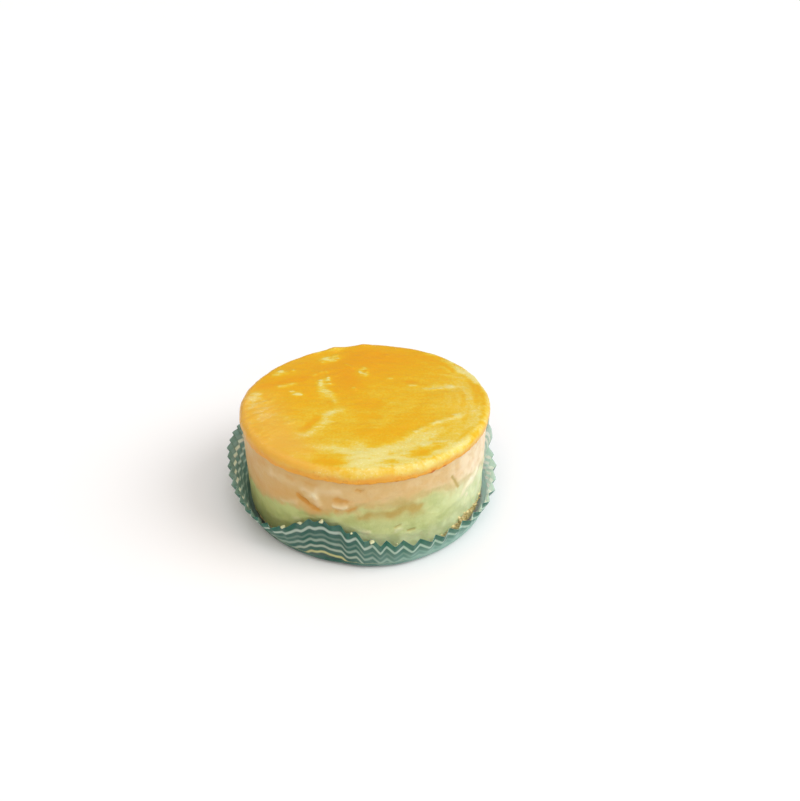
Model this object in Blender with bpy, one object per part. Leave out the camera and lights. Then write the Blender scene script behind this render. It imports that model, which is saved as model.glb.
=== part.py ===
import bmesh
import bpy
import numpy as np

MM = 0.001

# The cake stands on z = 0 with its axis on the origin. Angles are in degrees from +X towards +Y,
# so the side with the low rim and the pressed panel, 240 to 262, looks along -Y.
CAKE_RADIUS = 44.2 * MM
TOTAL_HEIGHT = 39.5 * MM
LAYER_GAP = 0.3 * MM
SEED = 7
EASE = 0.6  # how far the tables below are rounded at their points, from 0, straight, to 1
CAP_SHARES = (0.45, 0.9)  # rings of points on a layer's flat faces, as shares of its radius
SHARP_FROM = 40  # edges that bend by more degrees than this are shaded sharp

# Paper case: a flat floor, a rounded foot and a pleated wall of uneven height.
PAPER = 0.4 * MM
WALL_PAPER = 0.5 * MM
FOOT_ROUND = 2.8 * MM
FOOT_STEPS = 2
WALL_STEPS = 4
PLEATS = 57
PLEAT_COLUMNS = 4
FIRST_INNER_FOLD = 260.55
FOLD_RISE = 0.8 * MM
FOLD_AT_FOOT = 0.12

# Radius of the foot, height of the rim, radius half way between the rim's inner and outer folds,
# and depth of the folds, in mm, by angle. The wall lies on the cake at the panel and stands off it
# most at the left.
FOOT_RADIUS = (
    (0, 46.2), (150, 45.6), (200, 45.4), (240, 44.9), (260, 45.1), (271, 46.2), (285, 46.8),
    (320, 46.6),
)
RIM_HEIGHT = (
    (0, 11.2), (10, 11.8), (14, 14.0), (17, 18.0), (21, 19.8), (35, 20.0), (60, 19.2),
    (100, 18.4), (130, 18.4), (160, 19.2), (172, 18.9), (182, 17.8), (190, 16.0), (200, 13.0),
    (212, 11.0), (224, 10.3), (232, 11.2), (238, 13.5), (243, 15.8), (248, 18.0), (252, 19.0),
    (257, 18.3), (261.4, 17.3), (268, 15.2), (275, 12.3), (281, 11.5), (288, 11.0), (294, 10.6),
    (302, 10.3), (320, 10.2), (340, 9.5), (350, 9.7),
)
RIM_RADIUS = (
    (0, 48.8), (11, 49.1), (18, 51.2), (24, 51.5), (40, 51.6), (70, 51.2), (100, 50.9),
    (130, 51.2), (150, 51.9), (165, 52.4), (177, 52.2), (187, 51.1), (205, 49.9), (220, 49.1),
    (230, 48.4), (236, 47.3), (241, 46.2), (246, 45.7), (262, 45.7), (268, 46.4), (276, 47.1),
    (281, 47.4), (288, 48.0), (294, 48.6), (302, 48.9), (320, 49.0), (340, 49.0),
)
FOLD_DEPTH = (
    (0, 1.5), (40, 1.9), (90, 2.0), (130, 1.8), (155, 1.4), (190, 1.3), (225, 1.3), (238, 1.0),
    (244, 0.7), (258, 0.7), (262, 1.6), (266, 2.2), (285, 2.6), (295, 2.1), (320, 1.8), (340, 1.5),
)
# Width of the pleats, wide at the right and bunched at the left, and how far the folds are shifted
# from that spacing, both in degrees.
PLEAT_WIDTH = (
    (0, 8.0), (30, 7.4), (60, 7.0), (100, 6.4), (135, 5.3), (175, 4.8), (215, 5.0), (238, 6.9),
    (305, 6.95), (330, 7.8),
)
FOLD_SHIFT = (
    (5, 0.4), (27, -0.5), (55, 0.4), (74, -0.7), (98, 0.5), (121, -0.3), (139, 0.5), (163, -0.3),
    (190, 0.3), (215, -0.3), (240, 0.2), (262, 0.2), (275, 0.2), (281, -0.8), (300, -0.7),
    (325, -0.4), (345, 0.2),
)

# The baked sponge base: its underside, how far it stands in from the layers above, the rounding of
# its lower edge, how far its crumbly side moves in or out, and its upper edge in mm by angle.
BASE_BOTTOM = 0.7 * MM
BASE_INSET = 0.6 * MM
BASE_ROUND = 2.0 * MM
CRUMBLE = (-0.35 * MM, 0.1 * MM)
BASE_TOP = (
    (0, 5.6), (40, 6.4), (90, 5.8), (150, 6.2), (205, 4.6), (240, 5.4), (290, 5.0), (308, 4.9),
    (316, 6.3), (326, 7.6), (340, 5.8),
)
BASE_MIDDLE = 5.8 * MM

# Edge of the green layer under the cream, in mm. It dips at the left, where the layers slumped.
GREEN_TOP = (
    (0, 20.5), (30, 21.5), (60, 22.5), (90, 22.0), (120, 21.0), (150, 18.0), (170, 15.0),
    (186, 13.6), (197, 16.0), (207, 17.8), (217, 17.4), (228, 19.5), (238, 21.3), (248, 19.6),
    (259, 21.4), (272, 24.2), (283, 24.6), (295, 23.0), (304, 24.0), (315, 22.5), (329, 21.7),
    (345, 21.0),
)
GREEN_MIDDLE = 21.5 * MM
SIDE_TAPER = 0.4 * MM  # how much narrower the green layer is at its foot
GREEN_STEPS = 7
CREAM_STEPS = 9

# Underside of the top sponge, which droops at the front, and its outline, in mm.
TOP_UNDERSIDE = (
    (0, 36.0), (60, 36.1), (120, 36.1), (180, 35.9), (225, 35.4), (270, 34.7), (300, 34.9),
    (330, 35.6),
)
TOP_MIDDLE = 35.6 * MM
TOP_OUTLINE = (
    (0, 45.4), (45, 45.5), (75, 45.2), (100, 44.6), (120, 43.9), (148, 44.0), (175, 44.9),
    (200, 45.0), (270, 45.0), (315, 44.9), (340, 45.0),
)
# Rounded edge of the top sponge: distance in from the outline in mm, and share of the thickness.
TOP_EDGE = ((0.9, 0.0), (0.1, 0.14), (0.0, 0.45), (0.35, 0.75), (1.1, 0.93), (2.4, 0.995))
TOP_FLAT_FROM = 6.0 * MM
# Small lumps on the top's back edge: angle, half width in degrees and height in mm.
TOP_LUMPS = ((93, 4.0, 0.5), (109, 3.5, 0.7))

# Marks in the side of the cream, each from one (angle, height in mm) to another, with half its
# width and its depth in mm. A negative depth is a lump.
SIDE_MARKS = (
    ((242.5, 25.6), (251.5, 22.4), 1.0, 1.1),
    ((244.0, 27.4), (252.5, 24.3), 1.1, -0.5),
    ((267.5, 32.0), (271.0, 31.6), 1.0, 0.9),
    ((262.5, 27.4), (266.5, 26.3), 1.0, 0.8),
    ((264.5, 25.1), (270.0, 25.2), 1.0, -0.7),
    ((264.0, 22.9), (267.0, 22.9), 0.8, 0.6),
    ((315.2, 27.6), (312.8, 24.6), 0.8, 0.8),
    ((229.0, 29.2), (243.5, 31.2), 1.5, -0.4),
)

# Colour and roughness of each piece.
FINISH = {
    "paper_case": ((0.07, 0.20, 0.17), 0.7),
    "sponge_base": ((0.45, 0.28, 0.08), 0.85),
    "green_layer": ((0.45, 0.52, 0.27), 0.5),
    "cream_layer": ((0.80, 0.58, 0.34), 0.5),
    "sponge_top": ((0.86, 0.45, 0.03), 0.3),
}


def around(table, angle):
    """Smooth closed curve through (degrees, value) points, read at the angles given."""
    knots = np.array(table, float)
    places = np.concatenate([knots[-1:, 0] - 360, knots[:, 0], knots[:1, 0] + 360])
    values = np.concatenate([knots[-1:, 1], knots[:, 1], knots[:1, 1]])
    angle = np.mod(angle, 360)
    after = np.searchsorted(places, angle, side="right").clip(1, len(places) - 1)
    start, end = places[after - 1], places[after]
    share = (angle - start) / (end - start)
    share = share * share * (3 - 2 * share) * EASE + share * (1 - EASE)
    return values[after - 1] + (values[after] - values[after - 1]) * share


def at_angle(radius, angle, height):
    """Points at these radii, angles and heights."""
    turn = np.radians(angle)
    return np.stack([radius * np.cos(turn), radius * np.sin(turn), height + 0 * turn], axis=1)


def solid_of_rings(name, rings, low_centre, high_centre):
    """Closed body through rings of points, from the lowest ring up, round and in to the highest."""
    mesh = bmesh.new()
    rows = [[mesh.verts.new(point) for point in ring] for ring in rings]
    for low, high in zip(rows, rows[1:]):
        for i in range(len(low)):
            j = (i + 1) % len(low)
            mesh.faces.new((low[i], low[j], high[j], high[i]))
    bottom = mesh.verts.new(low_centre)
    top = mesh.verts.new(high_centre)
    for i in range(len(rows[0])):
        j = (i + 1) % len(rows[0])
        mesh.faces.new((bottom, rows[0][j], rows[0][i]))
        mesh.faces.new((top, rows[-1][i], rows[-1][j]))
    bmesh.ops.triangulate(mesh, faces=mesh.faces, quad_method="FIXED")
    data = bpy.data.meshes.new(name)
    mesh.to_mesh(data)
    mesh.free()
    data.shade_smooth()
    data.set_sharp_from_angle(angle=np.radians(SHARP_FROM))
    part = bpy.data.objects.new(name, data)
    bpy.context.scene.collection.objects.link(part)
    part.data.materials.append(plain_material(name))


def plain_material(name):
    colour, roughness = FINISH[name]
    material = bpy.data.materials.new(name)
    material.use_nodes = True
    shader = material.node_tree.nodes["Principled BSDF"]
    shader.inputs["Base Color"].default_value = (*colour, 1.0)
    shader.inputs["Roughness"].default_value = roughness
    shader.inputs["Metallic"].default_value = 0.0
    return material


# Columns of points round the cake: close together on the side with the marks.
FINE_FROM, FINE_TO, FINE_STEP, COARSE_STEP = 226, 326, 2, 6
COLUMNS = np.concatenate([
    np.arange(FINE_FROM, FINE_TO, FINE_STEP), np.arange(FINE_TO, FINE_FROM + 360, COARSE_STEP)
]).astype(float)


def interface(table, middle, share):
    """Height, at a share of the radius, of the surface between two layers."""
    edge = around(table, COLUMNS) * MM
    return middle + (edge - middle) * share**2


def cap(outline, table, middle, offset, shares=CAP_SHARES):
    """Rings of a flat-lying surface at these shares of the outline."""
    return [
        at_angle(outline * share, COLUMNS, interface(table, middle, share) + offset)
        for share in shares
    ]


def side_marks(angle, height):
    """How far the tears, hollows and lumps move the side out at this angle and height."""
    across = np.radians(angle) * CAKE_RADIUS / MM
    move = np.zeros_like(across)
    for (start_angle, start_height), (end_angle, end_height), half_width, depth in SIDE_MARKS:
        start = np.array([np.radians(start_angle) * CAKE_RADIUS / MM, start_height])
        end = np.array([np.radians(end_angle) * CAKE_RADIUS / MM, end_height])
        along = end - start
        share = ((across - start[0]) * along[0] + (height / MM - start[1]) * along[1]) / (along @ along)
        share = share.clip(0, 1)
        away = np.hypot(
            across - start[0] - share * along[0], height / MM - start[1] - share * along[1]
        )
        move -= depth * np.exp(-((away / half_width) ** 2))
    return move * MM


def make_base(random):
    """Thin crumbly sponge under the layers, rounded where it meets the foot of the case."""
    rim = CAKE_RADIUS - BASE_INSET
    crumble = random.uniform(*CRUMBLE, (3, len(COLUMNS)))
    top = around(BASE_TOP, COLUMNS) * MM - LAYER_GAP / 2
    slope = BASE_ROUND * np.sqrt(0.5)
    rings = [
        at_angle(rim - BASE_ROUND + 0 * COLUMNS, COLUMNS, BASE_BOTTOM),
        at_angle(rim - BASE_ROUND + slope + crumble[0], COLUMNS, BASE_BOTTOM + BASE_ROUND - slope),
        at_angle(rim + crumble[1], COLUMNS, BASE_BOTTOM + BASE_ROUND),
        at_angle(rim + crumble[2], COLUMNS, top),
    ]
    rings += cap(CAKE_RADIUS, BASE_TOP, BASE_MIDDLE, -LAYER_GAP / 2)[::-1]
    middle = BASE_MIDDLE - LAYER_GAP / 2
    solid_of_rings("sponge_base", rings, (0, 0, BASE_BOTTOM), (0, 0, middle))


def layer_side(low, high, steps):
    """Rings of a layer's side between two edges, with the marks pressed into it."""
    rings = []
    for share in np.linspace(0, 1, steps):
        height = low + (high - low) * share
        taper = SIDE_TAPER * (1 - (height / GREEN_MIDDLE).clip(0, 1))
        radius = CAKE_RADIUS - taper + side_marks(COLUMNS, height)
        rings.append(at_angle(radius, COLUMNS, height))
    return rings


def make_layer(name, low_table, low_middle, high_table, high_middle, steps):
    """One layer of set cream, from the surface under it to the one over it."""
    half = LAYER_GAP / 2
    low = around(low_table, COLUMNS) * MM + half
    high = around(high_table, COLUMNS) * MM - half
    rings = cap(CAKE_RADIUS, low_table, low_middle, half)
    rings += layer_side(low, high, steps)
    rings += cap(CAKE_RADIUS, high_table, high_middle, -half)[::-1]
    solid_of_rings(name, rings, (0, 0, low_middle + half), (0, 0, high_middle - half))


def make_top():
    """Glazed sponge disc: flat top, rounded edge, and two small lumps at the back."""
    outline = around(TOP_OUTLINE, COLUMNS) * MM
    underside = around(TOP_UNDERSIDE, COLUMNS) * MM + LAYER_GAP / 2
    lump = sum(
        height * np.exp(-(((COLUMNS - place) / width) ** 2)) for place, width, height in TOP_LUMPS
    ) * MM
    rings = cap(CAKE_RADIUS, TOP_UNDERSIDE, TOP_MIDDLE, LAYER_GAP / 2)
    for inset, rise in TOP_EDGE:
        height = underside + (TOTAL_HEIGHT - underside) * rise
        rings.append(at_angle(outline - inset * MM, COLUMNS, height + lump * rise))
    rings.append(at_angle(outline - TOP_FLAT_FROM, COLUMNS, TOTAL_HEIGHT))
    rings.append(at_angle(outline * CAP_SHARES[0], COLUMNS, TOTAL_HEIGHT))
    middle = TOP_MIDDLE + LAYER_GAP / 2
    solid_of_rings("sponge_top", rings, (0, 0, middle), (0, 0, TOTAL_HEIGHT))


def pleat_columns():
    """Angle of each column of the case and how far it is from an inner fold, -1, to an outer, 1."""
    turn = np.arange(PLEATS * PLEAT_COLUMNS) / PLEAT_COLUMNS
    fold = 4 * np.minimum(turn % 1, 1 - turn % 1) - 1
    degrees = FIRST_INNER_FOLD + np.arange(361)
    passed = np.concatenate([[0], np.cumsum(1 / around(PLEAT_WIDTH, degrees[:-1] + 0.5))])
    angle = np.interp(turn, passed * PLEATS / passed[-1], degrees)
    return angle + around(FOLD_SHIFT, angle), fold


def case_rings(inside):
    """Rings of the case's outer surface, or of its inner one, from the floor out and up."""
    angle, fold = pleat_columns()
    sheet = PAPER if inside else 0.0
    wall_sheet = WALL_PAPER if inside else 0.0
    foot = around(FOOT_RADIUS, angle) * MM
    rings = [at_angle(foot - FOOT_ROUND, angle, sheet)]
    for step in range(1, FOOT_STEPS):
        bend = np.pi / 2 * step / FOOT_STEPS
        arc = FOOT_ROUND - sheet
        radius = foot - FOOT_ROUND + arc * np.sin(bend)
        rings.append(at_angle(radius, angle, FOOT_ROUND - arc * np.cos(bend)))
    rim_height = around(RIM_HEIGHT, angle) * MM
    rim_radius = around(RIM_RADIUS, angle) * MM
    depth = around(FOLD_DEPTH, angle) / 2 * MM
    for share in np.linspace(0, 1, WALL_STEPS):
        fold_share = FOLD_AT_FOOT + (1 - FOLD_AT_FOOT) * share
        radius = foot + (rim_radius - foot) * share + depth * fold * fold_share
        height = FOOT_ROUND + (rim_height - FOOT_ROUND - FOLD_RISE / 2 * fold) * share
        rings.append(at_angle(radius - wall_sheet, angle, height))
    return rings


def make_case():
    """Pleated paper case, one closed sheet."""
    rings = case_rings(False) + case_rings(True)[::-1]
    solid_of_rings("paper_case", rings, (0, 0, 0), (0, 0, PAPER))


def main():
    for old in list(bpy.data.objects):
        bpy.data.objects.remove(old)
    random = np.random.default_rng(SEED)
    make_case()
    make_base(random)
    make_layer("green_layer", BASE_TOP, BASE_MIDDLE, GREEN_TOP, GREEN_MIDDLE, GREEN_STEPS)
    make_layer("cream_layer", GREEN_TOP, GREEN_MIDDLE, TOP_UNDERSIDE, TOP_MIDDLE, CREAM_STEPS)
    make_top()


main()
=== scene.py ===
import math
import bmesh
import bpy
from mathutils import Matrix
import numpy as np


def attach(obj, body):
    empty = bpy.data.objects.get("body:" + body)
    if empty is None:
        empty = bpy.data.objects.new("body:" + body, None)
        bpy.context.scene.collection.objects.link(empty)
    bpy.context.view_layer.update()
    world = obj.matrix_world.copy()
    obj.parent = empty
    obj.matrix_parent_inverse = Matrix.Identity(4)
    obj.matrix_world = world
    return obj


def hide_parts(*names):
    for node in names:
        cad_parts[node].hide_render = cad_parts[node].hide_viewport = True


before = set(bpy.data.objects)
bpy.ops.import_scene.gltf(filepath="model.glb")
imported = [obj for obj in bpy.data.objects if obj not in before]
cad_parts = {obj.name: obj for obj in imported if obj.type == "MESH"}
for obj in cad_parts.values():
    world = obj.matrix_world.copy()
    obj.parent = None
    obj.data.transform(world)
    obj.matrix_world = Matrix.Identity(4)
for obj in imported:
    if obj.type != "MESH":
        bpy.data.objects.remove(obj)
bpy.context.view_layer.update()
mm = 0.001  # lengths below are in mm, angles in degrees from +X towards +Y
scene = bpy.context.scene
scene.view_settings.view_transform = "Standard"


# camera, light and floor

shot = {"place": (12.8, -248.9, 188.0), "tilt": 59.1, "lens": 36.0, "sensor": 36.0}
camera = bpy.data.objects.new("photoCamera", bpy.data.cameras.new("photoCamera"))
camera.data.lens = shot["lens"]
camera.data.sensor_width = shot["sensor"]
camera.data.sensor_fit = "HORIZONTAL"
camera.data.clip_end = 50
camera.location = [value * mm for value in shot["place"]]
camera.rotation_euler = (math.radians(shot["tilt"]), 0, 0)
scene.collection.objects.link(camera)
scene.camera = camera

light = {
    "sky": ((1.0, 0.98, 0.95), 0.26),
    # direction it comes from, height above the floor, softness, colour, strength
    "suns": {
        "windowLight": (352, 40, 40, (1.0, 1.0, 1.0), 1.5),
        "roomLight": (290, 45, 80, (1.0, 0.99, 0.97), 1.2),
        "warmFill": (205, 30, 90, (1.0, 0.70, 0.42), 0.45),
        "ceilingLight": (80, 78, 70, (1.0, 0.98, 0.96), 0.75),
    },
    "floorColour": (0.93, 0.935, 0.955),
    "floorSize": 24.0,  # m across
}


def addLight():
    world = bpy.data.worlds.new("softRoom")
    world.use_nodes = True
    colour, strength = light["sky"]
    background = world.node_tree.nodes["Background"]
    background.inputs["Color"].default_value = (*colour, 1)
    background.inputs["Strength"].default_value = strength
    scene.world = world
    for name, (angle, height, softness, colour, strength) in light["suns"].items():
        sun = bpy.data.objects.new(name, bpy.data.lights.new(name, "SUN"))
        sun.data.energy = strength
        sun.data.color = colour
        sun.data.angle = math.radians(softness)
        sun.rotation_euler = (math.radians(90 - height), 0, math.radians(angle + 90))
        scene.collection.objects.link(sun)


def addFloor():
    half = light["floorSize"] / 2
    corners = [(-half, -half, 0), (half, -half, 0), (half, half, 0), (-half, half, 0)]
    mesh = bpy.data.meshes.new("floor")
    mesh.from_pydata(corners, [], [(0, 1, 2, 3)])
    floor = bpy.data.objects.new("floor", mesh)
    scene.collection.objects.link(floor)
    material = bpy.data.materials.new("paleFloor")
    material.use_nodes = True
    shader = material.node_tree.nodes["Principled BSDF"]
    shader.inputs["Base Color"].default_value = (*light["floorColour"], 1)
    shader.inputs["Roughness"].default_value = 0.9
    shader.inputs["Specular IOR Level"].default_value = 0.1
    mesh.materials.append(material)


addLight()
addFloor()
print("camera, light and floor")


# curves, noise and meshes

def around(table, angle):
    # smooth closed curve through (degrees, value) points
    knots = np.array(table, float)
    places = np.concatenate([knots[-1:, 0] - 360, knots[:, 0], knots[:1, 0] + 360])
    values = np.concatenate([knots[-1:, 1], knots[:, 1], knots[:1, 1]])
    angle = np.mod(angle, 360)
    after = np.searchsorted(places, angle, side="right").clip(1, len(places) - 1)
    share = (angle - places[after - 1]) / (places[after] - places[after - 1])
    share = share * share * (3 - 2 * share) * 0.6 + share * 0.4
    return values[after - 1] + (values[after] - values[after - 1]) * share


def smoothStep(low, high, value):
    share = ((value - low) / (high - low)).clip(0, 1)
    return share * share * (3 - 2 * share)


lattices = {}


def softNoise(x, y, z, size, seed, layers=1):
    # smooth bumps from about -1 to 1, size across; each further layer is half the size and height
    cells = 48
    total = 0
    for layer in range(layers):
        if seed + layer not in lattices:
            random = np.random.default_rng(seed + layer)
            lattices[seed + layer] = random.uniform(-1, 1, (cells, cells, cells))
        lattice = lattices[seed + layer]
        place = np.stack(np.broadcast_arrays(x, y, z), axis=-1) / (size * 0.5**layer)
        low = np.floor(place).astype(int)
        share = place - low
        share = share * share * (3 - 2 * share)
        for corner in np.ndindex(2, 2, 2):
            weight = np.prod(np.where(corner, share, 1 - share), axis=-1)
            spot = (low + corner) % cells
            total = total + 0.5**layer * weight * lattice[spot[..., 0], spot[..., 1], spot[..., 2]]
    return total


def stroke(x, y, ends, halfWidth):
    # 1 on the line between the two ends, fading out about halfWidth away
    (x0, y0), (x1, y1) = ends
    dx, dy = x1 - x0, y1 - y0
    along = (((x - x0) * dx + (y - y0) * dy) / max(dx * dx + dy * dy, 1e-9)).clip(0, 1)
    return np.exp(-((x - x0 - along * dx) ** 2 + (y - y0 - along * dy) ** 2) / halfWidth**2)


def onCircle(radius, angle):
    turn = np.radians(angle)
    return radius * np.cos(turn), radius * np.sin(turn)


def polar(radius, angle, height):
    return np.stack(np.broadcast_arrays(*onCircle(radius, angle), height), axis=-1)


def coverRings(radius, angle, middle, edge, shares):
    # rings of a cover that is middle high in the middle and edge high at its edge
    return [polar(radius * part, angle, middle + (edge - middle) * part**2) for part in shares]


sharpFrom = math.radians(50)  # creases sharper than this stay crisp
inward = (0.97, 0.9, 0.6, 0.3)  # where the rings of a cover lie, as shares of its radius


def ringBody(name, rings, lowTip, highTip, material, marks):
    # closed body through rings of points, from the lowest ring up, round and in to the highest;
    # marks are values at the points, which the material reads by name
    rows, columns = rings.shape[:2]
    row = np.arange(rows - 1)[:, None] * columns
    column = np.arange(columns)[None]
    following = (column + 1) % columns
    quads = np.stack(np.broadcast_arrays(
        row + column, row + following, row + columns + following, row + columns + column
    ), axis=-1).reshape(-1, 4).tolist()
    low, high = rows * columns, rows * columns + 1
    last = (rows - 1) * columns
    fans = [(low, (i + 1) % columns, i) for i in range(columns)]
    fans += [(high, last + i, last + (i + 1) % columns) for i in range(columns)]
    points = np.concatenate([rings.reshape(-1, 3), [lowTip, highTip]]) * mm
    mesh = bpy.data.meshes.new(name)
    mesh.from_pydata(points.tolist(), [], quads + fans)
    mesh.shade_smooth()
    for mark, values in marks.items():
        flat = np.broadcast_to(values, (rows, columns)).reshape(-1)
        flat = np.concatenate([flat, [flat[:columns].mean(), flat[-columns:].mean()]])
        layer = mesh.attributes.new(mark, "FLOAT", "POINT")
        layer.data.foreach_set("value", flat.astype(np.float32))
    piece = bpy.data.objects.new(name, mesh)
    scene.collection.objects.link(piece)
    mesh.materials.append(material)
    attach(piece, "root")
    return piece


# shader parts

def addNode(tree, kind, inputs=None, **settings):
    # inputs holds plain values, colours without alpha, or the outputs of other nodes, by socket
    node = tree.nodes.new(kind)
    for name, value in settings.items():
        setattr(node, name, value)
    for name, value in (inputs or {}).items():
        socket = node.inputs[name]
        if isinstance(value, bpy.types.NodeSocket):
            tree.links.new(value, socket)
        elif socket.type == "RGBA":
            socket.default_value = (*value, 1)
        else:
            socket.default_value = value
    return node


def mixColour(tree, mask, low, high):
    return addNode(tree, "ShaderNodeMix", {0: mask, 6: low, 7: high}, data_type="RGBA").outputs[2]


def calculate(tree, operation, first, second=0.0):
    return addNode(tree, "ShaderNodeMath", {0: first, 1: second}, operation=operation).outputs[0]


def fade(tree, value, low, high, start=0.0, end=1.0):
    return addNode(
        tree, "ShaderNodeMapRange", {0: value, 1: low, 2: high, 3: start, 4: end},
        interpolation_type="SMOOTHSTEP",
    ).outputs[0]


def colourRamp(tree, value, stops):
    ramp = addNode(tree, "ShaderNodeValToRGB", {0: value})
    elements = ramp.color_ramp.elements
    while len(elements) < len(stops):
        elements.new(0.5)
    for element, (place, colour) in zip(elements, stops):
        element.position = place
        element.color = (*colour, 1)
    return ramp.outputs[0]


def readMark(tree, name):
    return addNode(tree, "ShaderNodeAttribute", attribute_name=name).outputs["Fac"]


def placeMm(tree, size):
    # the point on the object, in steps of size mm
    coordinates = addNode(tree, "ShaderNodeTexCoord").outputs["Object"]
    steps = calculate(tree, "DIVIDE", 1 / mm, size)
    return addNode(
        tree, "ShaderNodeVectorMath", {0: coordinates, 3: steps}, operation="SCALE"
    ).outputs[0]


def noise(tree, size, detail, distortion=0.0):
    return addNode(tree, "ShaderNodeTexNoise", {
        "Vector": placeMm(tree, size), "Scale": 1.0, "Detail": detail, "Distortion": distortion,
    }).outputs["Fac"]


def newGroup(name, inputs, outputs):
    # tuples are colours, and so is the output named Colour; the rest are plain values
    tree = bpy.data.node_groups.new(name, "ShaderNodeTree")
    for title, value in inputs.items():
        kind = "NodeSocketColor" if isinstance(value, tuple) else "NodeSocketFloat"
        tree.interface.new_socket(title, in_out="INPUT", socket_type=kind).default_value = value
    for title in outputs:
        kind = "NodeSocketColor" if title == "Colour" else "NodeSocketFloat"
        tree.interface.new_socket(title, in_out="OUTPUT", socket_type=kind)
    given = tree.nodes.new("NodeGroupInput").outputs
    result = tree.nodes.new("NodeGroupOutput").inputs
    return tree, given, result


def fineGrainGroup():
    # small soft bumps, as on set cream, crumb and paper
    tree, given, result = newGroup("fineGrain", {"Size": 1.0, "Detail": 3.0}, ["Height"])
    tree.links.new(noise(tree, given["Size"], given["Detail"]), result["Height"])
    return tree


def tintDriftGroup():
    # a colour that drifts towards another one in soft patches
    tree, given, result = newGroup("tintDrift", {
        "Colour": (1, 1, 1, 1), "Other": (0, 0, 0, 1), "Size": 8.0, "Amount": 0.5,
    }, ["Colour"])
    patches = fade(tree, noise(tree, given["Size"], 3.0, 0.25), 0.35, 0.7)
    mask = calculate(tree, "MULTIPLY", patches, given["Amount"])
    tree.links.new(mixColour(tree, mask, given["Colour"], given["Other"]), result["Colour"])
    return tree


creamMeeting = {
    # size of the smears, how far they move the border, and the tan line's height and fade beside it
    "smearSize": 3.2, "wander": 3.6, "seamAbove": 0.6, "seamFade": (0.2, 2.2),
}


def creamMeetGroup():
    # green cream below, peach cream above, smeared into each other with a tan line between
    meeting = creamMeeting
    tree, given, result = newGroup("creamMeet", {
        "Border": 0.0, "Blur": 1.0, "Lower": (0, 1, 0, 1), "Upper": (1, 1, 0, 1),
        "Seam": (1, 0.5, 0, 1), "Seam Amount": 0.4,
    }, ["Colour"])
    smear = noise(tree, meeting["smearSize"], 4.0, 0.5)
    wander = calculate(tree, "MULTIPLY_ADD", smear, meeting["wander"])
    wander.node.inputs[2].default_value = -meeting["wander"] / 2
    border = calculate(tree, "ADD", given["Border"], wander)
    low = calculate(tree, "MULTIPLY", given["Blur"], -1.0)
    blended = mixColour(tree, fade(tree, border, low, given["Blur"]), given["Lower"], given["Upper"])
    away = calculate(tree, "ABSOLUTE", calculate(tree, "ADD", border, -meeting["seamAbove"]))
    seam = fade(tree, away, *meeting["seamFade"], 1.0, 0.0)
    seam = calculate(tree, "MULTIPLY", seam, given["Seam Amount"])
    tree.links.new(mixColour(tree, seam, blended, given["Seam"]), result["Colour"])
    return tree


def spongePoresGroup():
    # round pores of baked sponge, few and shallow
    tree, given, result = newGroup("spongePores", {"Size": 1.0, "Spread": 0.35}, ["Mask", "Height"])
    cells = addNode(tree, "ShaderNodeTexVoronoi", {
        "Vector": placeMm(tree, given["Size"]), "Scale": 1.0, "Randomness": 1.0,
    })
    mask = fade(tree, cells.outputs["Distance"], 0.0, given["Spread"], 1.0, 0.0)
    tree.links.new(mask, result["Mask"])
    tree.links.new(calculate(tree, "SUBTRACT", 1.0, mask), result["Height"])
    return tree


fineGrain = fineGrainGroup()
tintDrift = tintDriftGroup()
creamMeet = creamMeetGroup()
spongePores = spongePoresGroup()


def useGroup(tree, group, inputs):
    return addNode(tree, "ShaderNodeGroup", inputs, node_tree=group).outputs


def grain(tree, size, detail):
    return useGroup(tree, fineGrain, {"Size": size, "Detail": detail})["Height"]


def roughen(tree, value, size, detail, amount):
    # the value, made uneven by fine grain
    bumps = calculate(tree, "SUBTRACT", grain(tree, size, detail), 0.5)
    return calculate(tree, "ADD", value, calculate(tree, "MULTIPLY", bumps, amount))


def newMaterial(name, finish):
    # finish holds what is the same all over the surface, by the shader's own socket
    material = bpy.data.materials.new(name)
    material.use_nodes = True
    tree = material.node_tree
    shader = tree.nodes["Principled BSDF"]
    for socket, value in finish.items():
        shader.inputs[socket].default_value = value
    return material, tree, shader


def addBump(tree, shader, heights, depth):
    # heights are (output, share) pairs, depth in mm is that of a share of 1
    total = None
    for height, share in heights:
        part = calculate(tree, "MULTIPLY", height, share)
        total = part if total is None else calculate(tree, "ADD", total, part)
    bump = addNode(tree, "ShaderNodeBump", {"Height": total, "Distance": depth * mm, "Strength": 1.0})
    tree.links.new(bump.outputs["Normal"], shader.inputs["Normal"])


print("shader parts")


# paper case

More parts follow.
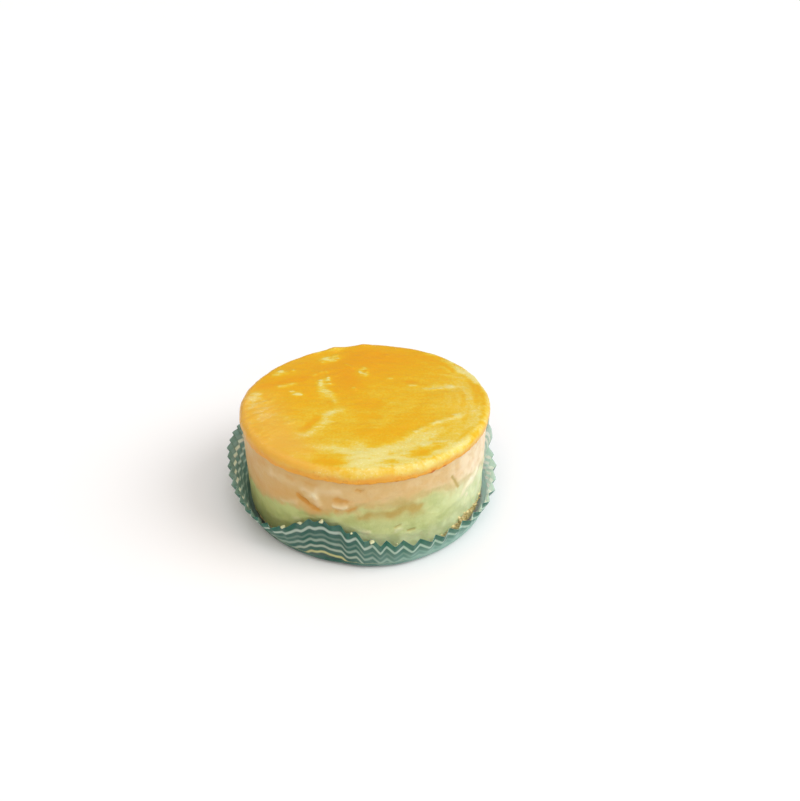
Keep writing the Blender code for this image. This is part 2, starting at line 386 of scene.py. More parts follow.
paperCase = {
    "pleats": 57, "perPleat": 12, "firstInnerFold": 260.55, "foldRise": 0.8, "foldAtFoot": 0.12,
    "footRound": 2.8, "footSteps": 6, "wallSteps": 34, "floorShares": (0.35, 0.8),
    "sheet": 0.15, "inset": 0.12, "seed": 11,
    # uneven pleats, outwards and upwards, and bulges of the wall
    "unevenOut": 0.22, "unevenUp": 0.15, "bulge": 0.35, "bulgeSize": 5.0, "bulgeSeed": 21,
    "meanRadius": 46, "wallSpan": 9,
    "footRadius": (
        (0, 46.2), (150, 45.6), (200, 45.4), (240, 44.9), (260, 45.1), (271, 46.2), (285, 46.8),
        (320, 46.6),
    ),
    "rimHeight": (
        (0, 11.2), (10, 11.8), (14, 14.0), (17, 18.0), (21, 19.8), (35, 20.0), (60, 19.2),
        (100, 18.4), (130, 18.4), (160, 19.2), (172, 18.9), (182, 17.8), (190, 16.0), (200, 13.0),
        (212, 11.0), (224, 10.3), (232, 11.2), (238, 13.5), (243, 15.8), (248, 18.0), (252, 19.0),
        (257, 18.3), (261.4, 17.3), (268, 15.2), (275, 12.3), (281, 11.5), (288, 11.0),
        (294, 10.6), (302, 10.3), (320, 10.2), (340, 9.5), (350, 9.7),
    ),
    "rimRadius": (
        (0, 48.8), (11, 49.1), (18, 51.2), (24, 51.5), (40, 51.6), (70, 51.2), (100, 50.9),
        (130, 51.2), (150, 51.9), (165, 52.4), (177, 52.2), (187, 51.1), (205, 49.9),
        (220, 49.1), (230, 48.4), (236, 47.3), (241, 46.2), (246, 45.7), (262, 45.7),
        (268, 46.4), (276, 47.1), (281, 47.4), (288, 48.0), (294, 48.6), (302, 48.9),
        (320, 49.0), (340, 49.0),
    ),
    "foldDepth": (
        (0, 1.5), (40, 1.9), (90, 2.0), (130, 1.8), (155, 1.4), (190, 1.3), (225, 1.3),
        (238, 1.0), (244, 0.7), (258, 0.7), (262, 1.6), (266, 2.2), (285, 2.6), (295, 2.1),
        (320, 1.8), (340, 1.5),
    ),
    # how wide the pleats are and how far the folds are shifted from that, in degrees
    "pleatWidth": (
        (0, 8.0), (30, 7.4), (60, 7.0), (100, 6.4), (135, 5.3), (175, 4.8), (215, 5.0),
        (238, 6.9), (305, 6.95), (330, 7.8),
    ),
    "foldShift": (
        (5, 0.4), (27, -0.5), (55, 0.4), (74, -0.7), (98, 0.5), (121, -0.3), (139, 0.5),
        (163, -0.3), (190, 0.3), (215, -0.3), (240, 0.2), (262, 0.2), (275, 0.2), (281, -0.8),
        (300, -0.7), (325, -0.4), (345, 0.2),
    ),
    # how round the folds are, from 0, creased, to 1
    "soft": ((0, 0.15), (225, 0.2), (238, 1.0), (262, 0.9), (270, 0.3)),
    # painted light: how much paler the paper is painted where it is lit and lets light through, most on the
    # right, from 0 to 1
    "paintedLight": (
        (0, 1.0), (40, 0.7), (120, 0.3), (170, 0.15), (230, 0.12), (262, 0.0), (270, 0.2),
        (282, 0.45), (300, 0.8), (330, 1.0),
    ),
    "teal": (0.011, 0.092, 0.069), "tealLit": (0.27, 0.44, 0.39),
    "tealInside": (0.12, 0.165, 0.14), "tealInsideLit": (0.54, 0.65, 0.63),
    # printed lines: distance down from the rim, half width, colour; lit copies of the inside lines where
    # light is painted
    "linesOutside": (
        (3.2, 0.6, (0.40, 0.49, 0.42)), (6.0, 0.45, (0.12, 0.21, 0.165)), (8.3, 0.55, (0.26, 0.35, 0.28)),
        (11.0, 0.5, (0.38, 0.45, 0.35)), (13.7, 0.5, (0.55, 0.53, 0.22)), (15.0, 0.25, (0.03, 0.06, 0.05)),
    ),
    "linesInside": (
        (4.9, 0.65, (0.92, 0.84, 0.58)), (8.4, 0.45, (0.62, 0.66, 0.56)), (11.2, 0.4, (0.50, 0.55, 0.46)),
        (14.0, 0.4, (0.45, 0.48, 0.40)),
    ),
    "linesLit": (
        (3.0, 0.7, (0.98, 0.97, 0.93)), (5.6, 0.65, (0.98, 0.98, 0.96)), (8.0, 0.6, (0.98, 0.98, 0.96)),
        (10.2, 0.4, (0.90, 0.92, 0.88)),
    ),
    # how much the printed lines wave with the folds, below the first few mm
    "lineWave": (
        (0, -1.3), (25, -1.0), (60, -0.5), (130, -0.2), (190, -0.25), (218, -0.2), (232, -0.1), (245, -0.3),
        (258, -0.3), (263, 0.1), (268, 0.4), (275, 0.5), (305, 0.5), (322, 0.2), (335, -1.0),
    ),
    "lineWaveFrom": 3.0, "lineSpan": 20.0, "lineEdge": 0.28,
    # share of the painted light on the outside at the rim and at the foot, and how fast it grows between
    # them; the lower wall is painted paler, as if lit by light off the floor
    "paintedLightAtRim": 0.04, "paintedLightAtFoot": 0.94, "paintedLightCurve": 1.6,
    "finish": {
        "Roughness": 0.5, "Specular IOR Level": 0.3,
        "Subsurface Weight": 1.0,  # the paper lets light through
        "Subsurface Radius": (0.6, 0.8, 0.75), "Subsurface Scale": 0.9 * mm,
    },
    "faded": (0.75, 0.8, 0.7),
}


def casePleats():
    # each column's angle, and how far it is from an inner fold, -1, to an outer one, 1
    case = paperCase
    turn = np.arange(case["pleats"] * case["perPleat"]) / case["perPleat"]
    random = np.random.default_rng(case["seed"])
    outer = 0.5 + np.repeat(random.uniform(-0.07, 0.07, case["pleats"]), case["perPleat"])
    share = turn % 1
    rise = np.where(share < outer, share / outer, (1 - share) / (1 - outer))
    degrees = case["firstInnerFold"] + np.arange(361)
    passed = np.concatenate([[0], np.cumsum(1 / around(case["pleatWidth"], degrees[:-1] + 0.5))])
    angle = np.interp(turn, passed * case["pleats"] / passed[-1], degrees)
    angle = angle + around(case["foldShift"], angle)
    soft = around(case["soft"], angle)
    fold = (1 - soft) * (2 * rise - 1) - soft * np.cos(np.pi * rise)
    uneven = np.repeat(random.uniform(-1, 1, case["pleats"]), case["perPleat"]) * rise
    return angle, fold, uneven


def caseRings(inside):
    case = paperCase
    angle, fold, uneven = casePleats()
    wallX, wallY = onCircle(case["meanRadius"], angle)
    sheet = case["sheet"] if inside else 0.0
    foot = around(case["footRadius"], angle) - case["inset"]
    height = around(case["rimHeight"], angle)
    radius = around(case["rimRadius"], angle) - case["inset"]
    depth = around(case["foldDepth"], angle) / 2
    rings = [
        polar((foot - case["footRound"]) * share, angle, sheet) for share in case["floorShares"]
    ]
    for bend in np.linspace(0, 90, case["footSteps"], endpoint=False):
        arc = case["footRound"] - sheet
        bend = math.radians(bend)
        rings.append(polar(
            foot - case["footRound"] + arc * math.sin(bend), angle,
            case["footRound"] - arc * math.cos(bend),
        ))
    for share in np.linspace(0, 1, case["wallSteps"]):
        foldShare = case["foldAtFoot"] + (1 - case["foldAtFoot"]) * share
        bulge = case["bulge"] * math.sin(math.pi * share) * softNoise(
            wallX, wallY, share * case["wallSpan"], case["bulgeSize"], case["bulgeSeed"]
        )
        wallRadius = foot + (radius - foot) * share + depth * fold * foldShare
        wallRadius = wallRadius + bulge + uneven * case["unevenOut"] * share
        rise = height + uneven * case["unevenUp"] - case["footRound"] - case["foldRise"] / 2 * fold
        wallHeight = case["footRound"] + share * rise
        rings.append(polar(wallRadius - sheet, angle, wallHeight))
    return np.array(rings)


def lineStops(lines, ground):
    # ramp stops for printed lines on a ground
    edge = paperCase["lineEdge"]
    stops = [(0.0, ground)]
    for place, halfWidth, colour in lines:
        for away, shade in ((-halfWidth - edge, ground), (-halfWidth + edge, colour),
                            (halfWidth - edge, colour), (halfWidth + edge, ground)):
            stops.append(((place + away) / paperCase["lineSpan"], shade))
    return stops


def casePaper():
    case = paperCase
    material, tree, shader = newMaterial("casePaper", case["finish"])
    down = calculate(tree, "DIVIDE", readMark(tree, "down"), case["lineSpan"])
    down = roughen(tree, down, 2.2, 2.0, 0.01)
    outside, inside, insideLit = (
        colourRamp(tree, down, lineStops(case[lines], case[ground])) for lines, ground in (
            ("linesOutside", "teal"), ("linesInside", "tealInside"), ("linesLit", "tealInsideLit"),
        )
    )
    # painted light: the outside is painted paler where lit, most on the lower wall
    paintedLightLow = mixColour(tree, readMark(tree, "paintedLightLow"), outside, case["tealLit"])
    # painted light: the inside takes lit colours where light comes through the paper
    inside = mixColour(tree, readMark(tree, "paintedLight"), inside, insideLit)
    colour = mixColour(tree, readMark(tree, "inside"), paintedLightLow, inside)
    colour = useGroup(tree, tintDrift, {
        "Colour": colour, "Other": mixColour(tree, 0.12, colour, case["faded"]),
        "Size": 5.0, "Amount": 0.5,
    })["Colour"]
    tree.links.new(colour, shader.inputs["Base Color"])
    fibre, crumple = grain(tree, 0.35, 4.0), grain(tree, 3.0, 2.0)
    addBump(tree, shader, [(fibre, 0.06), (crumple, 0.5)], 0.5)
    return material


def addPaperCase():
    case = paperCase
    outside, inside = caseRings(False), caseRings(True)
    wall = case["wallSteps"]
    down = np.linalg.norm(np.diff(outside[-wall:], axis=0), axis=-1)[::-1].cumsum(axis=0)[::-1]
    down = np.concatenate([
        np.full((len(outside) - wall, down.shape[1]), case["lineSpan"]), down, down[:1] * 0
    ])
    angle, fold, _ = casePleats()
    down = down - around(case["lineWave"], angle) * fold * smoothStep(0.0, case["lineWaveFrom"], down)
    share = np.zeros((len(outside), 1))
    share[-wall:, 0] = np.linspace(0, 1, wall)
    # painted light, by angle, and on the outside growing towards the foot
    paintedLight = around(case["paintedLight"], angle)[None] + 0 * share
    gain = case["paintedLightAtFoot"] - case["paintedLightAtRim"]
    paintedLightLow = paintedLight * (case["paintedLightAtRim"] + gain * (1 - share) ** case["paintedLightCurve"])
    rings = np.concatenate([outside, inside[::-1]])
    piece = ringBody(
        "paperCase", rings, (0, 0, 0), (0, 0, case["sheet"]), casePaper(), {
            "down": np.concatenate([down, down[::-1]]),
            "paintedLightLow": np.concatenate([paintedLightLow, paintedLightLow[::-1]]),
            "paintedLight": np.concatenate([paintedLight, paintedLight[::-1]]),
            "inside": np.repeat([[0.0], [1.0]], len(outside), axis=0),
        },
    )
    piece.data.set_sharp_from_angle(angle=sharpFrom)
    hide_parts("paper_case")
    print("paper case,", case["pleats"], "pleats")


addPaperCase()


# the two layers of set cream, with the tears and smears left by the ring

creamLayers = {
    "radius": 44.2, "taper": 0.4, "taperFrom": 21.5, "columns": 640, "rows": 56,
    "greenTop": (
        (0, 20.5), (30, 21.5), (60, 22.5), (90, 22.0), (120, 21.0), (150, 18.0), (170, 15.0),
        (186, 13.6), (197, 16.0), (207, 17.8), (217, 17.4), (228, 19.5), (238, 21.3),
        (248, 19.6), (259, 21.4), (272, 24.2), (283, 24.6), (295, 23.0), (304, 24.0),
        (315, 22.5), (329, 21.7), (345, 21.0),
    ),
    "greenMiddle": 21.5,
    # how softly green and peach meet, and the painted light: how much paler the cream is painted on the
    # side lit from the right, and low down by the case
    "blur": ((0, 3.0), (180, 1.5), (225, 1.1), (250, 1.4), (265, 2.8), (285, 4.2), (325, 4.2)),
    "paintedLitSide": (
        (0, 1.0), (60, 0.7), (150, 0.2), (200, 0.0), (245, 0.0), (268, 0.12), (300, 0.25), (312, 0.4),
        (320, 0.75), (328, 1.0),
    ),
    "paintedLitLow": (
        (190, 0.1), (215, 0.1), (230, 0.25), (248, 0.3), (260, 0.6), (280, 0.85), (312, 0.8),
        (330, 0.4), (345, 0.0),
    ),
    # how far the green is smeared up over the peach
    "greenSmear": (
        (266, 0.0), (286, 0.9), (300, 2.2), (312, 1.6), (322, 0.0), (328, 0.0), (336, 1.5), (342, 7.0),
        (350, 11.0), (8, 9.0), (25, 1.0), (40, 0.0),
    ),
    # marks by tint: from and to (angle, height), half width, depth, strength of the tint
    "marks": {
        # tan marks: tan smears, with painted shade in the hollows and cuts and under the folds
        "tanAndShade": (
            ((242.9, 26.0), (245.3, 24.8), 0.9, 0.7, 1.0), ((245.3, 24.8), (251.3, 22.8), 0.8, 0.5, 0.8),
            ((268.4, 31.9), (271.2, 31.8), 0.9, 0.4, 0.7), ((259.6, 27.5), (264.4, 27.1), 1.0, 0.4, 0.8),
            ((264.4, 23.5), (267.8, 24.6), 0.9, 0.35, 0.75), ((259.2, 23.0), (260.5, 23.0), 0.8, 0.2, 0.55),
            ((246.6, 32.6), (250.2, 31.8), 0.8, 0.12, 0.4), ((236.9, 32.8), (239.5, 32.4), 0.8, 0.08, 0.35),
            ((226.0, 23.4), (242.0, 25.4), 1.9, 0.1, 0.42), ((222.0, 28.4), (236.0, 27.0), 1.2, 0.05, 0.22),
            ((251.0, 26.0), (262.0, 30.0), 1.6, 0.0, 0.16), ((246.0, 21.6), (256.0, 21.6), 1.2, 0.0, 0.35),
            ((272.0, 25.0), (279.0, 25.4), 1.2, 0.0, 0.25), ((209.0, 24.4), (219.0, 21.6), 2.6, 0.1, 0.4),
            ((199.0, 25.0), (221.0, 32.6), 1.8, 0.05, 0.4), ((221.0, 32.6), (250.0, 33.2), 0.9, 0.0, 0.2),
        ),
        # olive marks: olive smears where the layers meet, with painted shade along the border and in the
        # slots
        "oliveAndShade": (
            ((275.0, 22.2), (283.0, 21.4), 1.5, 0.05, 0.7), ((283.0, 21.8), (287.0, 22.6), 1.2, 0.05, 0.6),
            ((292.5, 22.0), (297.0, 22.4), 1.2, 0.05, 0.65),
            ((270.0, 21.0), (273.0, 21.8), 1.1, 0.05, 0.55), ((262.0, 19.6), (272.0, 20.2), 1.6, 0.0, 0.3),
            ((313.6, 28.4), (317.8, 22.6), 0.55, 0.3, 0.9), ((312.0, 24.4), (313.4, 21.0), 1.1, 0.05, 0.35),
            ((284.0, 27.4), (290.0, 23.2), 2.2, 0.0, 0.3), ((289.0, 23.4), (298.0, 19.4), 2.0, 0.0, 0.45),
            ((278.0, 19.0), (292.0, 18.6), 1.6, 0.0, 0.28), ((284.9, 15.3), (286.9, 16.0), 0.5, 0.3, 0.6),
            ((290.8, 12.9), (293.4, 12.9), 0.5, 0.3, 0.7),
        ),
        # pale marks: paler smears of cream, with painted highlights on the ridges and a painted highlight
        # streak on the right
        "pale": (
            ((246.0, 29.2), (249.4, 27.6), 1.3, -0.3, 0.3), ((249.4, 27.6), (252.0, 24.8), 1.2, -0.4, 0.35),
            ((233.1, 21.6), (241.1, 23.0), 0.8, -0.1, 0.3), ((258.8, 24.9), (264.2, 24.9), 0.9, -0.5, 0.5),
            ((228.0, 30.5), (243.0, 30.0), 1.8, -0.1, 0.15),
            ((251.0, 30.4), (261.0, 30.8), 1.7, -0.1, 0.35), ((320.8, 18.6), (327.5, 20.4), 1.3, -0.2, 0.7),
            ((327.5, 20.4), (333.4, 22.4), 1.2, -0.2, 0.8), ((333.4, 22.4), (336.0, 25.0), 0.9, -0.1, 0.5),
            ((205.0, 27.0), (226.0, 30.6), 1.4, 0.0, 0.1), ((226.0, 30.6), (240.0, 31.2), 1.3, 0.0, 0.12),
            ((323.8, 16.0), (324.6, 15.4), 0.9, -0.2, 0.7), ((285.0, 13.9), (288.0, 13.9), 0.8, -0.2, 0.45),
            ((270.8, 14.6), (273.0, 14.4), 0.9, -0.2, 0.55), ((238.0, 15.0), (241.0, 15.2), 0.8, -0.1, 0.3),
        ),
    },
    # the pale green and pale peach are lit copies of the creams, for the painted light
    "green": (0.49, 0.54, 0.20), "greenDeep": (0.32, 0.39, 0.105), "greenLit": (0.77, 0.83, 0.52),
    "peach": (0.63, 0.42, 0.155), "peachDeep": (0.60, 0.355, 0.10), "peachLit": (0.84, 0.71, 0.49),
    # tints of the marks: tan and olive are partly painted shade, milk is partly painted highlight
    "tanAndShade": (0.60, 0.29, 0.045), "oliveAndShade": (0.45, 0.33, 0.085), "milkAndHighlight": (0.88, 0.82, 0.58),
    "seam": (0.50, 0.36, 0.12),
    # how marks wander across and up (distance, size, seed), the share of it left in cuts, and how
    # much wider their tints are
    "wander": ((0.9, 2.6, 41), (0.7, 2.4, 45)), "cutWander": 0.25, "tintSpread": 1.3,
    # bumps of the side: height, stretch upwards, size, seed; the larger ones lean
    "bumps": ((0.22, 2.2, 13.0, 31), (0.10, 2.6, 4.5, 33)), "fineBumps": (0.035, 1.3, 1.3, 35),
    "lean": 3.0,
    # waves of the border, and where, above the rim of the case, the painted light of the paler foot starts
    # and is full
    "borderWave": 1.3, "borderWaveSize": 5.0, "lightAbove": 2.0, "lightFade": (1.0, -4.0),
    "intoTop": 0.05,  # how far the peach cream reaches up into the sponge
    "finish": {
        "Roughness": 0.42, "Specular IOR Level": 0.35, "Subsurface Weight": 0.25,
        "Subsurface Radius": (1.0, 0.6, 0.3), "Subsurface Scale": 1.6 * mm,
    },
}


def sideMove(angle, height):
    # how far the side stands out or in, and its tint, at this angle and height
    cream = creamLayers
    across = np.radians(angle) * cream["radius"]
    x, y = onCircle(cream["radius"], angle)
    wanderAcross, wanderUp = (
        distance * softNoise(x, y, height, size, seed, 3) for distance, size, seed in cream["wander"]
    )
    move = 0.0 * across * height
    tints = {tint: move.copy() for tint in cream["marks"]}
    for tint, marks in cream["marks"].items():
        for start, end, halfWidth, depth, strength in marks:
            ends = [(math.radians(a) * cream["radius"], h) for a, h in (start, end)]
            cut = depth >= 0.25 and halfWidth <= 0.6
            free = cream["cutWander"] if cut else 1.0  # cuts stay straight
            markAcross = across + wanderAcross * free
            markUp = height + wanderUp * free
            move -= depth * stroke(markAcross, markUp, ends, halfWidth)
            # the tints spread wider than the dents: painted shade in tan and olive, painted highlights in
            # pale
            spread = halfWidth * cream["tintSpread"]
            tints[tint] += strength * stroke(markAcross, markUp, ends, spread)
    lean = height + cream["lean"] * np.sin(np.radians(angle) * 2)
    for bump, stretch, size, seed in cream["bumps"]:
        move += bump * softNoise(x, y, lean * stretch, size, seed, 2)
    bump, stretch, size, seed = cream["fineBumps"]
    move += bump * softNoise(x, y, height * stretch, size, seed, 2)
    return move, tints


def creamSurface(name):
    cream = creamLayers
    material, tree, shader = newMaterial(name, cream["finish"])
    # painted light: lit copies of green and peach on the side lit from the right and low down
    side = readMark(tree, "paintedLitSide")
    lower = useGroup(tree, tintDrift, {
        "Colour": mixColour(tree, side, cream["green"], cream["greenLit"]),
        "Other": cream["greenDeep"], "Size": 5.0, "Amount": 0.4,
    })["Colour"]
    upper = useGroup(tree, tintDrift, {
        "Colour": mixColour(tree, side, cream["peach"], cream["peachLit"]),
        "Other": cream["peachDeep"], "Size": 4.2, "Amount": 0.45,
    })["Colour"]
    colour = useGroup(tree, creamMeet, {
        "Border": readMark(tree, "border"), "Blur": readMark(tree, "blur"), "Lower": lower,
        "Upper": upper, "Seam": cream["seam"], "Seam Amount": 0.4,
    })["Colour"]
    # the marks' tints, which carry painted shade in hollows and along the border, and painted highlights on
    # ridges
    for tint, shade in (("oliveAndShade", "oliveAndShade"), ("tanAndShade", "tanAndShade"), ("pale", "milkAndHighlight")):
        colour = mixColour(tree, fade(tree, readMark(tree, tint), 0.0, 1.1), colour, cream[shade])
    tree.links.new(colour, shader.inputs["Base Color"])
    fine, smear = grain(tree, 0.8, 4.0), grain(tree, 3.2, 3.0)
    addBump(tree, shader, [(fine, 0.12), (smear, 0.4)], 0.6)
    return material


def addCreamLayer(name, node, lowEdge, highEdge, lowMiddle, highMiddle):
    cream = creamLayers
    angle = np.arange(cream["columns"]) * 360 / cream["columns"]
    low, high = lowEdge(angle), highEdge(angle)
    share = np.linspace(0, 1, cream["rows"])[:, None]
    height = low + (high - low) * share
    move, tints = sideMove(angle[None], height)
    taper = cream["taper"] * (1 - (height / cream["taperFrom"]).clip(0, 1))
    side = polar(cream["radius"] - taper + move, angle[None], height)
    bottom = coverRings(cream["radius"], angle, lowMiddle, low, inward[::-1])
    top = coverRings(cream["radius"], angle, highMiddle, high, inward)
    rings = np.concatenate([bottom, side, top])
    pad = np.zeros((len(inward), cream["columns"]))
    border = height - around(cream["greenTop"], angle) - around(cream["greenSmear"], angle)
    border += cream["borderWave"] * softNoise(
        side[..., 0], side[..., 1], height, cream["borderWaveSize"], 48, 3
    )
    # painted light, paler low down by the case and on the side lit from the right
    aboveRim = height - around(paperCase["rimHeight"], angle) - cream["lightAbove"]
    lowDown = around(cream["paintedLitLow"], angle) * smoothStep(*cream["lightFade"], aboveRim)
    paintedLitSide = (around(cream["paintedLitSide"], angle) + lowDown).clip(0, 1)
    piece = ringBody(name, rings, (0, 0, lowMiddle), (0, 0, highMiddle), creamSurface(name), {
        "border": np.concatenate([pad + border[:1], border, pad + border[-1:]]),
        "blur": np.broadcast_to(around(cream["blur"], angle), (len(rings), cream["columns"])),
        "paintedLitSide": np.concatenate([pad + paintedLitSide[:1], paintedLitSide, pad + paintedLitSide[-1:]]),
        **{tint: np.concatenate([pad, amount, pad]) for tint, amount in tints.items()},
    })
    piece.data.set_sharp_from_angle(angle=sharpFrom)
    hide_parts(node)
    print(name, "done")


# baked base and glazed top of sponge

spongeBase = {
    "inset": 0.6, "bottom": 0.7, "round": 2.0, "middle": 5.8, "rows": 20, "columns": 640,
    "top": (
        (0, 5.6), (40, 6.4), (90, 5.8), (150, 6.2), (205, 4.6), (240, 5.4), (290, 5.0),
        (308, 4.9), (316, 6.3), (326, 7.6), (340, 5.8),
    ),
    "floorShares": (0.5, 0.9), "roundSteps": 6, "gap": 0.02,
    # crumbly side: how far it lies in on average, then height, size, seed and layers of the bumps
    "crumbleIn": 0.25, "crumble": ((0.32, 1.7, 51, 2), (0.15, 0.7, 55, 1)),
    "crumb": (0.93, 0.74, 0.34), "crumbDark": (0.74, 0.50, 0.16), "crumbPale": (0.95, 0.84, 0.52),
    "finish": {"Roughness": 0.8},
}


def bakedSponge():
    base = spongeBase
    material, tree, shader = newMaterial("bakedBase", base["finish"])
    colour = useGroup(tree, tintDrift, {
        "Colour": base["crumb"], "Other": base["crumbPale"], "Size": 1.6, "Amount": 0.8,
    })["Colour"]
    pores = useGroup(tree, spongePores, {"Size": 0.9, "Spread": 0.4})
    colour = mixColour(tree, pores["Mask"], colour, base["crumbDark"])
    tree.links.new(colour, shader.inputs["Base Color"])
    addBump(tree, shader, [(pores["Height"], 0.5), (grain(tree, 0.5, 4.0), 0.5)], 0.5)
    return material


def addBase():
    base = spongeBase
    radius = creamLayers["radius"] - base["inset"]
    angle = np.arange(base["columns"]) * 360 / base["columns"]
    top = around(base["top"], angle)
    rings = [
        polar((radius - base["round"]) * part, angle, base["bottom"]) for part in base["floorShares"]
    ]
    outline = [
        (radius - base["round"] * (1 - math.sin(bend)),
         base["bottom"] + base["round"] * (1 - math.cos(bend)))
        for bend in np.radians(np.linspace(0, 90, base["roundSteps"]))
    ]
    start = base["bottom"] + base["round"]
    outline += [
        (radius, start + (top - start) * share) for share in np.linspace(0, 1, base["rows"])[1:]
    ]
    for out, height in outline:
        x, y = onCircle(out, angle)
        crumble = sum(
            bump * softNoise(x, y, height, size, seed, layers)
            for bump, size, seed, layers in base["crumble"]
        )
        rings.append(polar(out - base["crumbleIn"] + crumble, angle, height))
    middle = base["middle"] - base["gap"]
    rings += coverRings(radius, angle, middle, top - base["gap"], inward)
    piece = ringBody(
        "bakedBase", np.array(rings), (0, 0, base["bottom"]), (0, 0, middle), bakedSponge(), {},
    )
    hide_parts("sponge_base")
    print("baked base")


